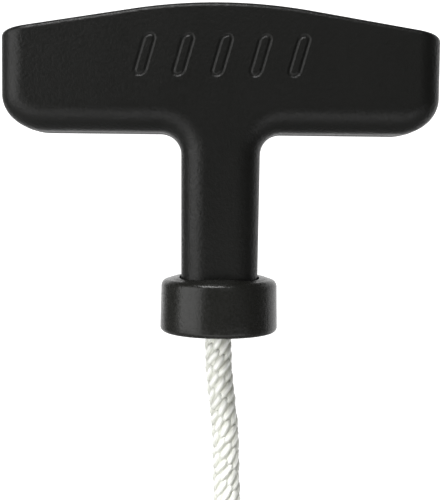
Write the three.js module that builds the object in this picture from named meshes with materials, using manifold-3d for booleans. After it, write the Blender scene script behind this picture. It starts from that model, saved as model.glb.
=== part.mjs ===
// Pull handle of a recoil starter, with its rope.
//
// The T-shaped grip stands upright: +Z runs up its neck, +X along its crossbar, and its front faces -Y.
// The origin is the centre of the stop face under the collar, on the rope's line.
// All sizes are in millimetres.

import * as THREE from 'three';
import { mergeVertices } from 'three/addons/utils/BufferGeometryUtils.js';
import Module from 'manifold-3d';

// ---------------------------------------------------------------------------
// Driving dimensions
// ---------------------------------------------------------------------------

// Crossbar of the grip
const BAR_LENGTH = 104.4; // from end to end
const BAR_THICKNESS = 20; // front to back, the neck's too
const BAR_UNDERSIDE = 48.4; // height of its underside
const BAR_TOP = 78.3; // height of its crowned top, at the middle
const CROWN_RADIUS = 131; // of the top's middle stretch
const SHOULDER_SLOPE = THREE.MathUtils.degToRad( 9.2 ); // of the straight stretches beyond it
const END_CORNER_LENGTH = 10.2; // rounding of the lower corners, along the bar
const END_CORNER_HEIGHT = 8.5; // and up the ends
const EDGE_FILLET = 6.2; // round the front and back faces

// Neck of the grip
const NECK_WIDTH_TOP = 19.05; // where it meets the bar
const NECK_WIDTH_FOOT = 18.35; // at its foot
const NECK_FILLET = 5.3; // between the neck and the bar's underside

// Stop collar on the neck's foot
const COLLAR_HEIGHT = 13; // up to its rim
const COLLAR_DOME = 0.8; // rise from the rim to the neck
const COLLAR_FLOOR = 4; // thickness under the neck's foot
const COLLAR_WALL = 2.85; // least wall beside the neck's corners
const COLLAR_FLARE = 0.2; // how much wider its foot is, on the radius
const COLLAR_TOP_ROUND = 1.8;
const COLLAR_BOTTOM_ROUND = 1.2;
const MOUTH_FLARE = 2; // rounding where the rope leaves

// Rope, its knot and the washer that the knot pulls against
const ROPE_DIAMETER = 6.35;
const BORE_CLEARANCE = 0.5; // round the rope, in every hole that it runs through
const KNOT_WIDTH = 2.3 * ROPE_DIAMETER; // a tight stopper knot
const KNOT_HEIGHT = 2.2 * ROPE_DIAMETER;
const WASHER_THICKNESS = 1.5;
const WASHER_OVERHANG = 0.2; // beyond the knot, on the radius
const POCKET_CLEARANCE = 0.3; // round the washer
const POCKET_HEADROOM = 8; // from the knot to the top of the bar
const POCKET_CHAMFER = 0.8;

// Folded rope that hangs below, and the strap round it
const HANK_RUN = 105; // height between the folds' centres
const HANK_FOLD = 6 * ROPE_DIAMETER; // across a fold, centre to centre of its runs
const HANK_WAIST = 1.07 * ROPE_DIAMETER; // from run to run where the strap draws them together
const HANK_LAYERS = 4;
const TIE_WIDTH = 9;
const TIE_MARGIN = 1.5; // straight rope above and below the strap
const TIE_THICKNESS = 1.4;

const FIT_GAP = 0.3; // between pieces that rest on each other

// The rope's line from inside the neck to the top of its hank
const INNER_END = 24; // height in the neck where the hanging stretch starts
const ROPE_ROUTE = [
	[ 0, 0, INNER_END ],
	[ 0, 0, 16 ],
	[ 0, 0, 8 ],
	[ 0, 0, 0 ],
	[ 0, 0, -5 ],
	[ 0.1, 0, -9 ],
	[ 0.5, 0, -13 ],
	[ 1, 0, -17 ],
	[ 1.5, 0, -21 ],
	[ 1.9, 0, -25 ],
	[ 2.1, 0, -29 ],
	[ 2.2, -0.1, -33 ],
	[ 2.3, -0.4, -37 ],
	[ 2.5, -1.1, -41 ],
	[ 2.9, -2.3, -45 ],
	[ 3.5, -4, -49 ],
	[ 4.4, -5.8, -53 ],
	[ 5.5, -7.3, -57 ],
];

// ---------------------------------------------------------------------------
// Sizes that follow
// ---------------------------------------------------------------------------

const halfLength = BAR_LENGTH / 2;
const halfThickness = BAR_THICKNESS / 2;
const neckFootZ = COLLAR_FLOOR + FIT_GAP;
const collarTopZ = COLLAR_HEIGHT + COLLAR_DOME;

const ropeRadius = ROPE_DIAMETER / 2;
const boreRadius = ropeRadius + BORE_CLEARANCE;
const knotRadius = KNOT_WIDTH / 2;
const washerRadius = knotRadius + WASHER_OVERHANG;
const pocketRadius = washerRadius + POCKET_CLEARANCE;

const knotTopZ = BAR_TOP - POCKET_HEADROOM;
const knotBottomZ = knotTopZ - KNOT_HEIGHT;
const washerBottomZ = knotBottomZ - FIT_GAP - WASHER_THICKNESS;
const pocketFloorZ = washerBottomZ - FIT_GAP;
const pocketChamfer = Math.min( POCKET_CHAMFER, ( halfThickness - pocketRadius ) / 2 ); // half the wall at most

// Half width of the neck at a height between its foot and the bar
function neckHalfWidth( z ) {

	const share = ( z - neckFootZ ) / ( BAR_UNDERSIDE - neckFootZ );
	return THREE.MathUtils.lerp( NECK_WIDTH_FOOT, NECK_WIDTH_TOP, share ) / 2;

}

// ---------------------------------------------------------------------------
// Solids
// ---------------------------------------------------------------------------

const wasm = await Module();
wasm.setup();

// A closed geometry as a solid that can be joined and cut
function toSolid( geometry ) {

	const bare = geometry.clone();
	bare.deleteAttribute( 'normal' );
	bare.deleteAttribute( 'uv' );
	const welded = mergeVertices( bare, 1e-4 );
	const corners = [];
	for ( let i = 0; i < welded.index.count; i += 3 ) {

		const triangle = [ 0, 1, 2 ].map( ( k ) => welded.index.getX( i + k ) );
		if ( new Set( triangle ).size === 3 ) corners.push( ...triangle ); // slivers at a pole close up

	}

	return new wasm.Manifold( new wasm.Mesh( {
		numProp: 3,
		vertProperties: new Float32Array( welded.attributes.position.array ),
		triVerts: new Uint32Array( corners ),
	} ) );

}

// A solid back as a geometry
function toGeometry( solid ) {

	const mesh = solid.getMesh();
	const geometry = new THREE.BufferGeometry();
	geometry.setAttribute( 'position', new THREE.BufferAttribute( mesh.vertProperties, 3 ) );
	geometry.setIndex( new THREE.BufferAttribute( mesh.triVerts, 1 ) );
	geometry.computeVertexNormals();
	return geometry;

}

// An outline in X and Z, extruded front to back about the middle plane
function slab( outline, thickness, options = {} ) {

	const round = options.round ?? 0;
	const geometry = new THREE.ExtrudeGeometry( outline, {
		depth: thickness - 2 * round,
		bevelEnabled: round > 0,
		bevelThickness: round,
		bevelSize: round,
		bevelOffset: - round,
		bevelSegments: 5,
		curveSegments: options.curveSegments ?? 8,
	} );
	geometry.translate( 0, 0, round - thickness / 2 );
	return geometry.rotateX( Math.PI / 2 );

}

// A profile of [radius, height] points turned about the Z axis
function turned( profile, segments ) {

	const points = profile.map( ( [ radius, height ] ) => new THREE.Vector2( radius, height ) );
	return new THREE.LatheGeometry( points, segments ).rotateX( Math.PI / 2 );

}

// Points of a quarter round about a centre, from one angle to the next, in degrees
function quarter( centreRadius, centreHeight, round, from, to, steps = 5 ) {

	return Array.from( { length: steps + 1 }, ( _, i ) => {

		const angle = THREE.MathUtils.degToRad( THREE.MathUtils.lerp( from, to, i / steps ) );
		return [ centreRadius + round * Math.cos( angle ), centreHeight + round * Math.sin( angle ) ];

	} );

}

// ---------------------------------------------------------------------------
// Grip: crossbar and neck in one moulding
// ---------------------------------------------------------------------------

// Silhouette of the T, taken past its top and its foot, where the envelope cuts it. Each arc draws the
// straight line that leads to it.
function gripOutline() {

	const bottom = neckFootZ - 2 * EDGE_FILLET;
	const top = BAR_TOP + 2 * EDGE_FILLET;
	const neckBottom = neckHalfWidth( bottom );
	const filletZ = BAR_UNDERSIDE - NECK_FILLET;
	const neckTop = neckHalfWidth( filletZ );
	const cornerX = halfLength - END_CORNER_LENGTH;
	const cornerZ = BAR_UNDERSIDE + END_CORNER_HEIGHT;

	const shape = new THREE.Shape();
	shape.moveTo( - neckBottom, bottom );
	shape.lineTo( neckBottom, bottom );
	shape.absarc( neckTop + NECK_FILLET, filletZ, NECK_FILLET, Math.PI, Math.PI / 2, true );
	shape.absellipse( cornerX, cornerZ, END_CORNER_LENGTH, END_CORNER_HEIGHT, - Math.PI / 2, 0 );
	shape.lineTo( halfLength, top );
	shape.lineTo( - halfLength, top );
	shape.absellipse( - cornerX, cornerZ, END_CORNER_LENGTH, END_CORNER_HEIGHT, Math.PI, 1.5 * Math.PI );
	shape.absarc( - neckTop - NECK_FILLET, filletZ, NECK_FILLET, Math.PI / 2, 0, true );
	return shape;

}

// The crowned top and the flat foot: an arc over the middle, with a straight slope to each side
function envelopeOutline() {

	const arcHalf = CROWN_RADIUS * Math.sin( SHOULDER_SLOPE );
	const arcDrop = CROWN_RADIUS * ( 1 - Math.cos( SHOULDER_SLOPE ) );
	const reach = halfLength + EDGE_FILLET;
	const endZ = BAR_TOP - arcDrop - ( reach - arcHalf ) * Math.tan( SHOULDER_SLOPE );

	const shape = new THREE.Shape();
	shape.moveTo( - reach, neckFootZ );
	shape.lineTo( reach, neckFootZ );
	shape.lineTo( reach, endZ );
	shape.absarc( 0, BAR_TOP - CROWN_RADIUS, CROWN_RADIUS, Math.PI / 2 - SHOULDER_SLOPE,
		Math.PI / 2 + SHOULDER_SLOPE );
	shape.lineTo( - reach, endZ );
	return shape;

}

// The rope's bore and the knot's pocket, open at the top
function gripCavity() {

	const above = BAR_TOP + EDGE_FILLET;
	const below = neckFootZ - EDGE_FILLET;
	return turned( [
		[ 0, below ],
		[ boreRadius, below ],
		[ boreRadius, pocketFloorZ ],
		[ pocketRadius, pocketFloorZ ],
		[ pocketRadius, BAR_TOP - pocketChamfer ],
		[ pocketRadius + pocketChamfer + EDGE_FILLET, above ],
		[ 0, above ],
	], 32 );

}

function makeGrip() {

	const moulding = toSolid( slab( gripOutline(), BAR_THICKNESS, { round: EDGE_FILLET } ) );
	const envelope = toSolid( slab( envelopeOutline(), 2 * BAR_THICKNESS, { curveSegments: 16 } ) );
	return toGeometry( moulding.intersect( envelope ).subtract( toSolid( gripCavity() ) ) );

}

// ---------------------------------------------------------------------------
// Stop collar: a cup round the neck's foot
// ---------------------------------------------------------------------------

// Half width of the socket, which the neck fills where it is widest inside the collar
const socketHalfWidth = Math.max( neckHalfWidth( neckFootZ ), neckHalfWidth( collarTopZ ) ) + FIT_GAP;
const socketHalfDepth = halfThickness + FIT_GAP;
const socketRound = EDGE_FILLET + FIT_GAP;
const socketCorner = Math.hypot( socketHalfWidth - socketRound, socketHalfDepth - socketRound ) + socketRound;
const collarTopRadius = socketCorner + COLLAR_WALL;
const collarBottomRadius = collarTopRadius + COLLAR_FLARE;

function socketOutline() {

	const x = socketHalfWidth;
	const y = socketHalfDepth;
	const r = socketRound;
	const shape = new THREE.Shape();
	shape.absarc( x - r, y - r, r, 0, Math.PI / 2 );
	shape.absarc( r - x, y - r, r, Math.PI / 2, Math.PI );
	shape.absarc( r - x, r - y, r, Math.PI, 1.5 * Math.PI );
	shape.absarc( x - r, r - y, r, 1.5 * Math.PI, 2 * Math.PI );
	return shape;

}

function makeStopCollar() {

	const outside = turned( [
		[ 0, 0 ],
		...quarter( collarBottomRadius - COLLAR_BOTTOM_ROUND, COLLAR_BOTTOM_ROUND, COLLAR_BOTTOM_ROUND, - 90, 0 ),
		...quarter( collarTopRadius - COLLAR_TOP_ROUND, COLLAR_HEIGHT - COLLAR_TOP_ROUND, COLLAR_TOP_ROUND, 0, 80 ),
		[ socketHalfWidth, collarTopZ ],
		[ 0, collarTopZ ],
	], 48 );

	const hole = turned( [
		[ 0, - COLLAR_FLOOR ],
		[ boreRadius + MOUTH_FLARE, - COLLAR_FLOOR ],
		...quarter( boreRadius + MOUTH_FLARE, MOUTH_FLARE, MOUTH_FLARE, - 90, - 180 ),
		[ boreRadius, 2 * COLLAR_FLOOR ],
		[ 0, 2 * COLLAR_FLOOR ],
	], 32 );

	const socket = new THREE.ExtrudeGeometry( socketOutline(), {
		depth: COLLAR_HEIGHT + COLLAR_DOME,
		bevelEnabled: false,
		curveSegments: 6,
	} ).translate( 0, 0, COLLAR_FLOOR );

	return toGeometry( toSolid( outside ).subtract( toSolid( hole ) ).subtract( toSolid( socket ) ) );

}

// ---------------------------------------------------------------------------
// Washer and knot
// ---------------------------------------------------------------------------

function makeKnotWasher() {

	const washerTopZ = washerBottomZ + WASHER_THICKNESS;
	return turned( [
		[ boreRadius, washerBottomZ ],
		[ washerRadius, washerBottomZ ],
		[ washerRadius, washerTopZ ],
		[ boreRadius, washerTopZ ],
		[ boreRadius, washerBottomZ ],
	], 40 );

}

// The knot's outer shape, a plump barrel
function makeRopeKnot() {

	const plump = 0.6; // exponent below 1 fills the barrel out towards a cylinder
	const steps = 12;
	const middleZ = ( knotTopZ + knotBottomZ ) / 2;
	const profile = Array.from( { length: steps + 1 }, ( _, i ) => {

		const angle = Math.PI * ( i / steps - 0.5 );
		const across = Math.pow( Math.max( 0, Math.cos( angle ) ), plump );
		const up = Math.sign( Math.sin( angle ) ) * Math.pow( Math.abs( Math.sin( angle ) ), plump );
		return [ i % steps === 0 ? 0 : knotRadius * across, middleZ + KNOT_HEIGHT / 2 * up ];

	} );
	return turned( profile, 24 );

}

// ---------------------------------------------------------------------------
// Rope
// ---------------------------------------------------------------------------

const ropeSides = 10;

function ropeSection() {

	return new THREE.Shape( Array.from( { length: ropeSides }, ( _, i ) => {

		const angle = 2 * Math.PI * i / ropeSides;
		return new THREE.Vector2( ropeRadius * Math.cos( angle ), ropeRadius * Math.sin( angle ) );

	} ) );

}

// The stretch inside the neck, from the knot down to where the hanging stretch starts
function makeRopeInner() {

	const start = INNER_END + FIT_GAP;
	const length = knotBottomZ - FIT_GAP - start;
	const geometry = new THREE.ExtrudeGeometry( ropeSection(), { depth: length, bevelEnabled: false, steps: 2 } );
	return geometry.translate( 0, 0, start );

}

// The stretch that leaves the collar and hangs down to the hank
function makeRope() {

	const route = ROPE_ROUTE.map( ( point ) => new THREE.Vector3( ...point ) );
	return new THREE.ExtrudeGeometry( ropeSection(), {
		extrudePath: new THREE.CatmullRomCurve3( route, false, 'centripetal' ),
		steps: 12,
		bevelEnabled: false,
	} );

}

// The hank starts under the lowest edge of the hanging stretch's slanting end
const routeEnd = new THREE.Vector3( ...ROPE_ROUTE.at( - 1 ) );
const routeBefore = new THREE.Vector3( ...ROPE_ROUTE.at( - 2 ) );
const endTilt = routeBefore.clone().sub( routeEnd ).angleTo( new THREE.Vector3( 0, 0, 1 ) );
const hankHalfWidth = ( HANK_FOLD + ROPE_DIAMETER ) / 2; // at its folds
const hankThickness = HANK_LAYERS * ROPE_DIAMETER;
const hankTopZ = routeEnd.z - ropeRadius * Math.sin( endTilt ) - FIT_GAP;
const upperFoldZ = hankTopZ - hankHalfWidth;
const tieZ = upperFoldZ - HANK_RUN / 2;

// Distance from the hank's middle plane to its runs at a height
function runOffset( z ) {

	const waistEnd = TIE_WIDTH / 2 + TIE_MARGIN;
	const share = THREE.MathUtils.clamp( ( Math.abs( z - tieZ ) - waistEnd ) / ( HANK_RUN / 2 - waistEnd ), 0, 1 );
	return THREE.MathUtils.lerp( HANK_WAIST, HANK_FOLD, ( 1 - Math.cos( Math.PI * share ) ) / 2 ) / 2;

}

// Points of [x, z] from the strap up one side, over the upper fold and down the other side, at a distance
// outside the runs' line. A line inside it starts where the runs have parted.
function overFold( outward ) {

	const steps = 14;
	const side = Array.from( { length: steps }, ( _, i ) => {

		const z = THREE.MathUtils.lerp( tieZ, upperFoldZ, i / steps );
		return [ runOffset( z ) + outward, z ];

	} ).filter( ( [ x ] ) => x > HANK_WAIST / 4 );
	const over = quarter( 0, upperFoldZ, HANK_FOLD / 2 + outward, 0, 180, 16 );
	return [ ...side, ...over, ...side.map( ( [ x, z ] ) => [ - x, z ] ).reverse() ];

}

// The hank's bow shape, with the eyes that its folds leave open
function makeRopeHank() {

	const toShape = ( points ) => new THREE.Shape( points.map( ( [ x, z ] ) => new THREE.Vector2( x, z ) ) );
	const below = ( points ) => points.map( ( [ x, z ] ) => [ x, 2 * tieZ - z ] ).reverse();

	const over = overFold( ropeRadius );
	const eye = overFold( - ropeRadius );
	const bow = toSolid( slab( toShape( [ ...over, ...below( over ).slice( 1, - 1 ) ] ), hankThickness ) );
	const upperEye = toSolid( slab( toShape( eye ), 2 * hankThickness ) );
	const lowerEye = toSolid( slab( toShape( below( eye ) ), 2 * hankThickness ) );
	return toGeometry( bow.subtract( upperEye ).subtract( lowerEye ) );

}

// A flat strap round the hank's waist
function makeHankTie() {

	const x = ( HANK_WAIST + ROPE_DIAMETER ) / 2 + FIT_GAP;
	const y = hankThickness / 2 + FIT_GAP;
	const t = TIE_THICKNESS;

	const shape = new THREE.Shape();
	shape.absarc( x, y, t, 0, Math.PI / 2 );
	shape.absarc( - x, y, t, Math.PI / 2, Math.PI );
	shape.absarc( - x, - y, t, Math.PI, 1.5 * Math.PI );
	shape.absarc( x, - y, t, 1.5 * Math.PI, 2 * Math.PI );

	const outside = new THREE.ExtrudeGeometry( shape, { depth: TIE_WIDTH, bevelEnabled: false, curveSegments: 4 } );
	const inside = new THREE.BoxGeometry( 2 * x, 2 * y, 2 * TIE_WIDTH );
	outside.translate( 0, 0, tieZ - TIE_WIDTH / 2 );
	inside.translate( 0, 0, tieZ );
	return toGeometry( toSolid( outside ).subtract( toSolid( inside ) ) );

}

// ---------------------------------------------------------------------------
// Assembly
// ---------------------------------------------------------------------------

const mattBlack = new THREE.MeshStandardMaterial( { color: 0x1d1d1b, roughness: 0.6, metalness: 0 } );
const glossBlack = new THREE.MeshStandardMaterial( { color: 0x191919, roughness: 0.35, metalness: 0 } );
const zincSteel = new THREE.MeshStandardMaterial( { color: 0xb9bcc0, roughness: 0.35, metalness: 1 } );
const whiteNylon = new THREE.MeshStandardMaterial( { color: 0xecebe4, roughness: 0.5, metalness: 0 } );
const strapBlack = new THREE.MeshStandardMaterial( { color: 0x262626, roughness: 0.8, metalness: 0 } );

const group = new THREE.Group();

function add( name, geometry, material ) {

	const mesh = new THREE.Mesh( geometry, material );
	mesh.name = name;
	group.add( mesh );

}

add( 'grip', makeGrip(), mattBlack );
add( 'stop_collar', makeStopCollar(), glossBlack );
add( 'knot_washer', makeKnotWasher(), zincSteel );
add( 'rope_knot', makeRopeKnot(), whiteNylon );
add( 'rope_inner', makeRopeInner(), whiteNylon );
add( 'rope', makeRope(), whiteNylon );
add( 'rope_hank', makeRopeHank(), whiteNylon );
add( 'hank_tie', makeHankTie(), strapBlack );

export default group;
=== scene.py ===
"""Looks of a recoil starter's pull handle and its rope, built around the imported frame."""

import math

import bmesh
import bpy
import numpy as np
from mathutils import Matrix, Vector


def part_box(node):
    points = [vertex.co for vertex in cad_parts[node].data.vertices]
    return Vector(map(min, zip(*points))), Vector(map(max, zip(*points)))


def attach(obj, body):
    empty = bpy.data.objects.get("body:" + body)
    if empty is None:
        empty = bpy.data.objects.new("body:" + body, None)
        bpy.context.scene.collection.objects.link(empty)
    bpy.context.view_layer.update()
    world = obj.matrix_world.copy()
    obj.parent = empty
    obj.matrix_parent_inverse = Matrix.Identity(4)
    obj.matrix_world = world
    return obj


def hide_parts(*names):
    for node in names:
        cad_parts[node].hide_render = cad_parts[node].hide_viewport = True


bl_info = {
    "name": "Starter Pull Handle",
    "version": (1, 0, 0),
    "blender": (4, 5, 0),
    "location": "View3D > Sidebar > Pull Handle",
    "description": "Builds the pull handle of a recoil starter and its braided rope",
    "category": "Object",
}

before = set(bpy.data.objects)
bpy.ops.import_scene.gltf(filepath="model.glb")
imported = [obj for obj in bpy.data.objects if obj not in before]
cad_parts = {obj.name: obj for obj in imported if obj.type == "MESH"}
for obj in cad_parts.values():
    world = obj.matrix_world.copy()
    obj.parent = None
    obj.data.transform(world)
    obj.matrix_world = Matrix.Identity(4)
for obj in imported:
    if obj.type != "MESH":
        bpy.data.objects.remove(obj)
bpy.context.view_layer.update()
MM = 0.001

# --- Sizes of the frame, in metres ---

GRIP_LOW, GRIP_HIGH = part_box("grip")
_, COLLAR_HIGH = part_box("stop_collar")
WASHER_LOW, WASHER_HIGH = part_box("knot_washer")
KNOT_LOW, KNOT_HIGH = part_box("rope_knot")
INNER_LOW, INNER_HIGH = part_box("rope_inner")
HANK_LOW, HANK_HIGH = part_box("rope_hank")
TIE_LOW, TIE_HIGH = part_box("hank_tie")

# Grip
UNDERSIDE = 48.4 * MM
CROWN_RADIUS = 131 * MM
SHOULDER_SLOPE = math.radians(9.2)
END_CORNER = (10.2 * MM, 8.5 * MM)
EDGE_FILLET = 6.2 * MM
NECK_HALF_TOP = 9.525 * MM
NECK_HALF_FOOT = 9.175 * MM
NECK_FILLET = 5.3 * MM

# Rope and the hole that it runs through
ROPE_DIAMETER = 6.35 * MM
ROPE_RADIUS = ROPE_DIAMETER / 2
BORE_RADIUS = 3.675 * MM
POCKET_RADIUS = 7.8 * MM
POCKET_FLOOR = 54.23 * MM
POCKET_LIP = 0.8 * MM

# Collar
COLLAR_FLOOR = 4 * MM
COLLAR_RIM = 13 * MM
COLLAR_TOP_ROUND = 1.8 * MM
COLLAR_BOTTOM_ROUND = 1.2 * MM
COLLAR_FLARE = 0.2 * MM
MOUTH_FLARE = 2 * MM
FIT_GAP = 0.3 * MM

# Hank
FOLD_HALF = 3 * ROPE_DIAMETER
WAIST_HALF = 1.07 * ROPE_RADIUS
WAIST_END = 6 * MM
STRAP_GAP = 0.25 * MM
TIE_MIDDLE = (TIE_LOW.z + TIE_HIGH.z) / 2
LOWER_FOLD = HANK_LOW.z + FOLD_HALF + ROPE_RADIUS
UPPER_FOLD = HANK_HIGH.z - FOLD_HALF - ROPE_RADIUS - 4 * MM
LAYERS = [(layer - 1.5) * ROPE_DIAMETER for layer in range(4)]

# The rope's line from inside the neck to the top of its hank, as the frame has it
ROPE_ROUTE = [
    (0, 0, 0.024), (0, 0, 0.016), (0, 0, 0.008), (0, 0, 0), (0, 0, -0.005),
    (0.0001, 0, -0.009), (0.0005, 0, -0.013), (0.001, 0, -0.017), (0.0015, 0, -0.021),
    (0.0019, 0, -0.025), (0.0021, 0, -0.029), (0.0022, -0.0001, -0.033),
    (0.0023, -0.0004, -0.037), (0.0025, -0.0011, -0.041), (0.0029, -0.0023, -0.045),
    (0.0035, -0.004, -0.049), (0.0044, -0.0058, -0.053), (0.0055, -0.0073, -0.057),
]

# From there it runs down to the strap, in front of the folds
ROPE_LEAD_IN = [
    (0.0062, -0.0086, -0.0615), (0.0065, -0.0093, -0.0665), (0.0065, -0.009525, -0.072),
    (0.0061, -0.009525, -0.080), (0.0055, -0.009525, -0.089), (0.0048, -0.009525, -0.099),
    (0.0041, -0.009525, -0.109), (0.0036, -0.009525, -0.118),
]


# --- Node trees ---

class Varying:
    """A socket's value, written in sums as a plain number is."""

    def __init__(self, nodes, socket):
        self.nodes = nodes
        self.socket = socket

    def sum(self, operation, *terms):
        return self.nodes.make("ShaderNodeMath", {"operation": operation}, dict(enumerate(terms)))

    def __add__(self, other):
        return self.sum("ADD", self, other)

    def __sub__(self, other):
        return self.sum("SUBTRACT", self, other)

    def __rsub__(self, other):
        return self.sum("SUBTRACT", other, self)

    def __mul__(self, other):
        return self.sum("MULTIPLY", self, other)

    def __truediv__(self, other):
        return self.sum("DIVIDE", self, other)

    def __mod__(self, other):
        return self.sum("FLOORED_MODULO", self, other)

    def __abs__(self):
        return self.sum("ABSOLUTE", self)

    def floor(self):
        return self.sum("FLOOR", self)

    def sine(self):
        return self.sum("SINE", self)

    __radd__ = __add__
    __rmul__ = __mul__


class Nodes:
    """A node tree, with one way to make any node in it."""

    def __init__(self, tree):
        self.tree = tree

    def make(self, kind, settings=None, inputs=None, output=0):
        """A node of a kind, with its settings made first, then its sockets' values or links."""
        node = self.tree.nodes.new(kind)
        for name, value in (settings or {}).items():
            if name == "stops":
                self.stops(node.color_ramp, value)
            else:
                setattr(node, name, value)
        for name, value in (inputs or {}).items():
            for one in value if isinstance(value, list) else [value]:
                self.fill(self.find(node.inputs, name), one)
        if not node.outputs:
            return node
        return Varying(self, self.find(node.outputs, output))

    def fill(self, socket, value):
        if isinstance(value, Varying):
            self.tree.links.new(value.socket, socket)
        else:
            socket.default_value = value

    @staticmethod
    def find(sockets, name):
        if isinstance(name, int):
            return sockets[name]
        return next(s for s in sockets if name in (s.identifier, s.name))

    @staticmethod
    def stops(ramp, stops):
        for index, (place, colour) in enumerate(stops):
            stop = ramp.elements[index] if index < 2 else ramp.elements.new(place)
            stop.position = place
            stop.color = colour


class Finish(Nodes):
    """A material with one Principled shader."""

    def __init__(self, name, **constants):
        self.material = bpy.data.materials.new(name)
        self.material.use_nodes = True
        super().__init__(self.material.node_tree)
        self.tree.nodes.clear()
        self.shader = self.tree.nodes.new("ShaderNodeBsdfPrincipled")
        output = self.tree.nodes.new("ShaderNodeOutputMaterial")
        self.tree.links.new(self.shader.outputs[0], output.inputs["Surface"])
        self.set(**constants)
        self.place = self.make("ShaderNodeTexCoord", output="Object")

    def set(self, **sockets):
        """Fills the shader's sockets, named with underscores for spaces."""
        for name, value in sockets.items():
            self.fill(self.find(self.shader.inputs, name.replace("_", " ")), value)

    def noise(self, scale, detail=2.0, roughness=0.5, stretch=None):
        """Noise over the object, in cells to the metre, drawn out along an axis by stretch."""
        where = self.place
        if stretch:
            where = self.make("ShaderNodeMapping", inputs={"Vector": where, "Scale": stretch})
        return self.make("ShaderNodeTexNoise", inputs={
            "Vector": where, "Scale": scale, "Detail": detail, "Roughness": roughness}, output="Fac")

    def mix(self, share, first, second):
        """Two colours mixed by a share."""
        return self.make("ShaderNodeMix", {"data_type": "RGBA"}, {
            "Factor_Float": share, "A_Color": first, "B_Color": second}, "Result_Color")

    def ramp(self, value, low, high, start=0.0, end=1.0):
        """A value's stretch from low to high, spread smoothly from start to end."""
        return self.make("ShaderNodeMapRange", {"interpolation_type": "SMOOTHSTEP"}, {
            "Value": value, "From Min": low, "From Max": high, "To Min": start, "To Max": end})

    def vector(self, operation, *terms, output="Vector"):
        """A sum on vectors."""
        return self.make("ShaderNodeVectorMath", {"operation": operation}, dict(enumerate(terms)), output)

    def unwrapped(self):
        """The two directions of the piece's UV map."""
        over = self.make("ShaderNodeUVMap", {"uv_map": "UVMap"})
        return [self.make("ShaderNodeSeparateXYZ", inputs={"Vector": over}, output=axis) for axis in "XY"]

    def bump(self, height, distance):
        """Relief that the light shows, its height in metres."""
        self.set(Normal=self.make("ShaderNodeBump", inputs={"Height": height, "Distance": distance}))


# --- Finishes ---

BRAID = "nylon_braid"
# Painted shade for the valleys between the braid's stitches.
PAINTED_VALLEY_SHADE = (0.56, 0.57, 0.50, 1.0)
# Painted highlight for a glint along the middle of each stitch.
PAINTED_GLINT = (0.97, 0.97, 0.93, 1.0)
ZINC_STAIN = (0.42, 0.40, 0.34, 1.0)
RIB_SPACING, THREAD_SPACING = 0.9, 0.6  # in millimetres, as the strap's UV map has them
PAPER_GLOW_TOWARDS = (0.208, 0.978, 0)
SKY_GLOW = 0.1


def toned(colour, share=1.0):
    """An opaque colour with a share of another's brightness."""
    return (*[channel * share for channel in colour[:3]], 1.0)


def moulded_plastic(name, colour, roughness, specular, grain):
    """Black plastic from a mould, with a fine grain, faint flow marks and rubbed patches."""
    finish = Finish(name, IOR=1.46, Specular_IOR_Level=specular)
    flow = finish.noise(55, 3, 0.6, (1, 1, 0.35))
    rubbed = finish.ramp(finish.noise(160, 4, 0.65), 0.52, 0.78)
    pits = finish.ramp(finish.noise(1300, 2, 0.7), 0.3, 0.7)
    finish.set(Base_Color=finish.mix(flow * 0.6 + rubbed * 0.4, toned(colour, 0.8), toned(colour, 1.3)))
    finish.set(Roughness=flow * 0.10 + pits * 0.10 - rubbed * 0.04 + (roughness - 0.09))
    finish.bump(pits + finish.noise(900, 2, 0.6) * 0.8, grain)
    return finish.material


def braided_nylon(colour):
    """Glossy white filaments that run along each stitch, a little different from stitch to stitch, with
    painted shade in the valleys between stitches and a painted glint along each stitch.
    """
    finish = Finish(BRAID, IOR=1.53, Specular_IOR_Level=0.5, Coat_Weight=0.8, Coat_Roughness=0.16)
    across, along = finish.unwrapped()
    tint = finish.make("ShaderNodeAttribute", {"attribute_name": "tint"}, output="Fac")
    rise = 1 - abs(across * 2 - 1)
    # Painted shade: the colour darkens towards the valleys between the stitches.
    painted_shade_fade = finish.ramp(rise, 0.0, 0.5)
    # Painted highlight: a bright glint painted along the middle of each stitch, weaker on some stitches.
    painted_glint_mask = finish.ramp(rise, 0.45, 0.95) * finish.ramp(1 - abs(along * 2 - 1), 0.15, 0.6)
    fuzz = finish.noise(4000, 3, 0.6)
    filament = ((across * 44 + fuzz * 2.2) + tint * 6).sine() * 0.5 + 0.5
    grime = finish.ramp(finish.noise(130, 3, 0.6), 0.45, 0.8)
    shade = filament * 0.35 + tint * 0.3 + grime * 0.25
    strand = finish.mix(shade, toned(colour), toned(colour, 0.78))
    strand = finish.mix(painted_glint_mask * (1 - tint * 0.5), strand, PAINTED_GLINT)
    finish.set(Base_Color=finish.mix(painted_shade_fade, PAINTED_VALLEY_SHADE, strand))
    finish.set(Roughness=filament * 0.12 + fuzz * 0.12 + 0.24)
    finish.bump(filament * 0.7 + fuzz * 0.5, 0.00009)
    return finish.material


def zinc_plate(colour):
    """Bright zinc over rolled steel, with a faint spangle and fine rolling marks."""
    finish = Finish("bright_zinc", Metallic=1.0)
    spangle = finish.make("ShaderNodeTexVoronoi", inputs={
        "Vector": finish.place, "Scale": 900.0}, output="Distance")
    rolled = finish.noise(700, 3, 0.6, (1, 14, 1))
    stain = finish.ramp(finish.noise(260, 3, 0.6), 0.5, 0.75)
    finish.set(Base_Color=finish.mix(stain * 0.6 + spangle * 0.3, toned(colour), ZINC_STAIN))
    finish.set(Roughness=rolled * 0.18 + stain * 0.12 + 0.2)
    finish.bump(rolled + spangle * 0.4, 0.00002)
    return finish.material


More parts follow.
